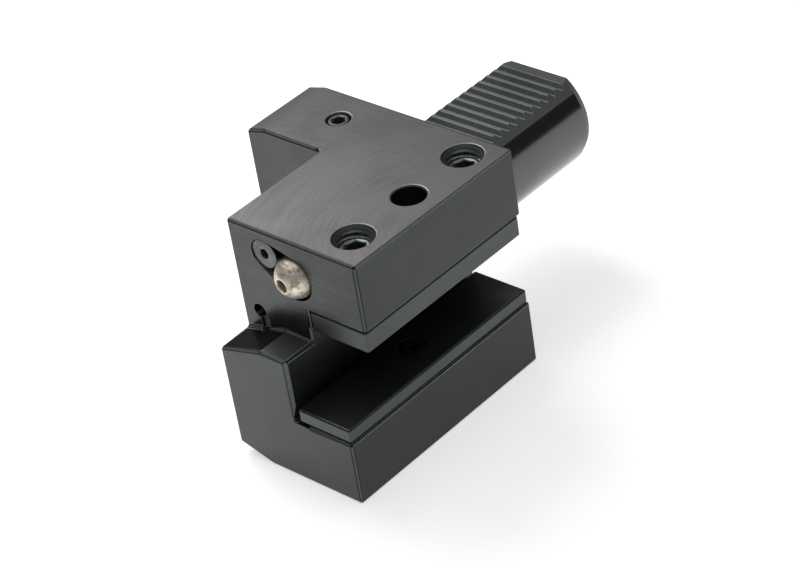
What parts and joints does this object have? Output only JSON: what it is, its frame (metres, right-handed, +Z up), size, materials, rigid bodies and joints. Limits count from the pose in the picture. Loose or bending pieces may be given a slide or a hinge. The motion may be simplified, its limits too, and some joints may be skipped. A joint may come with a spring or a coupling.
{
  "type": "vdi axial tool holder",
  "caption": "Right-hand axial turning tool holder: serrated cylindrical shank, flange, open tool slot with clamp bar and screws, swivelling coolant nozzle.",
  "frame": {"origin": "where the shank's axis meets the flange's contact face", "axes": "+Y along the shank to its free end, +X to the open side of the tool slot, +Z up to the toothed side and the clamp screws"},
  "size_m": [0.085, 0.148, 0.0805],
  "materials": {
    "black_oxide_body": "black oxide over milled and ground steel",
    "black_oxide_bar": "black oxide, ground",
    "hardened_black_plate": "black oxide, fine ground",
    "black_plate_screw": "black oxide",
    "ground_steel_pin": "ground",
    "black_set_screw": "black oxide",
    "black_cap_screw": "black oxide",
    "zinc_washer": "zinc plated",
    "spring_steel": "drawn wire",
    "nickel_ball": "bright turned, slightly stained",
    "seal_plastic": "plain",
    "black_nozzle_screw": "black oxide",
    "black_plug": "black oxide",
    "seal_rubber": "moulded"
  },
  "bodies": {
    "holder": {"holder_body": "black_oxide_body", "rest_plate": "hardened_black_plate", "rest_plate_screw": "black_plate_screw", "rest_plate_pin_front": "ground_steel_pin", "rest_plate_pin_rear": "ground_steel_pin", "coolant_plug_top": "black_plug", "coolant_plug_side_upper": "black_plug", "coolant_plug_side_lower": "black_plug", "shank_seal_ring": "seal_rubber"},
    "sliding_clamp_bar": {"clamp_bar": "black_oxide_bar", "bar_retaining_screw": "black_cap_screw", "spring_seat_washer": "zinc_washer", "bar_return_spring": "spring_steel"},
    "front_clamp_screw": {"clamp_screw_front": "black_set_screw"},
    "rear_clamp_screw": {"clamp_screw_rear": "black_set_screw"},
    "nozzle_seat": {"nozzle_seal_ring": "seal_plastic"},
    "nozzle": {"nozzle_ball": "nickel_ball"},
    "nozzle_screw": {"nozzle_clamp_screw": "black_nozzle_screw"}
  },
  "joints": [
    {"name": "clamp_bar_slide", "type": "slide", "parent": "holder", "child": "sliding_clamp_bar", "axis": [0, 0, -1], "range_m": [0, 0.003], "deforming": ["bar_return_spring"]},
    {"name": "front_clamp_screw_turn", "type": "hinge", "parent": "sliding_clamp_bar", "child": "front_clamp_screw", "pos_m": [0.0315, -0.0605, 0.0169], "axis": [0, 0, -1], "range_deg": [0, 620]},
    {"name": "rear_clamp_screw_turn", "type": "hinge", "parent": "sliding_clamp_bar", "child": "rear_clamp_screw", "pos_m": [0.0315, -0.0105, 0.0169], "axis": [0, 0, -1], "range_deg": [0, 620]},
    {"name": "nozzle_swivel", "type": "hinge", "parent": "holder", "child": "nozzle_seat", "pos_m": [0.015, -0.0705, 0.0188], "axis": [0, -1, 0], "continuous": true},
    {"name": "nozzle_tilt", "type": "hinge", "parent": "nozzle_seat", "child": "nozzle", "pos_m": [0.015, -0.0705, 0.0188], "axis": [0.4472, 0, -0.8944], "range_deg": [-6, 14]},
    {"name": "nozzle_clamp_screw_turn", "type": "hinge", "parent": "holder", "child": "nozzle_screw", "pos_m": [0.0042, -0.0725, 0.024], "axis": [0, 1, 0], "range_deg": [0, 360]}
  ],
  "couplings": [
    {"joint": "front_clamp_screw_turn", "follows": "clamp_bar_slide", "rad_per_m": 3590.4},
    {"joint": "rear_clamp_screw_turn", "follows": "clamp_bar_slide", "rad_per_m": 3590.4}
  ]
}
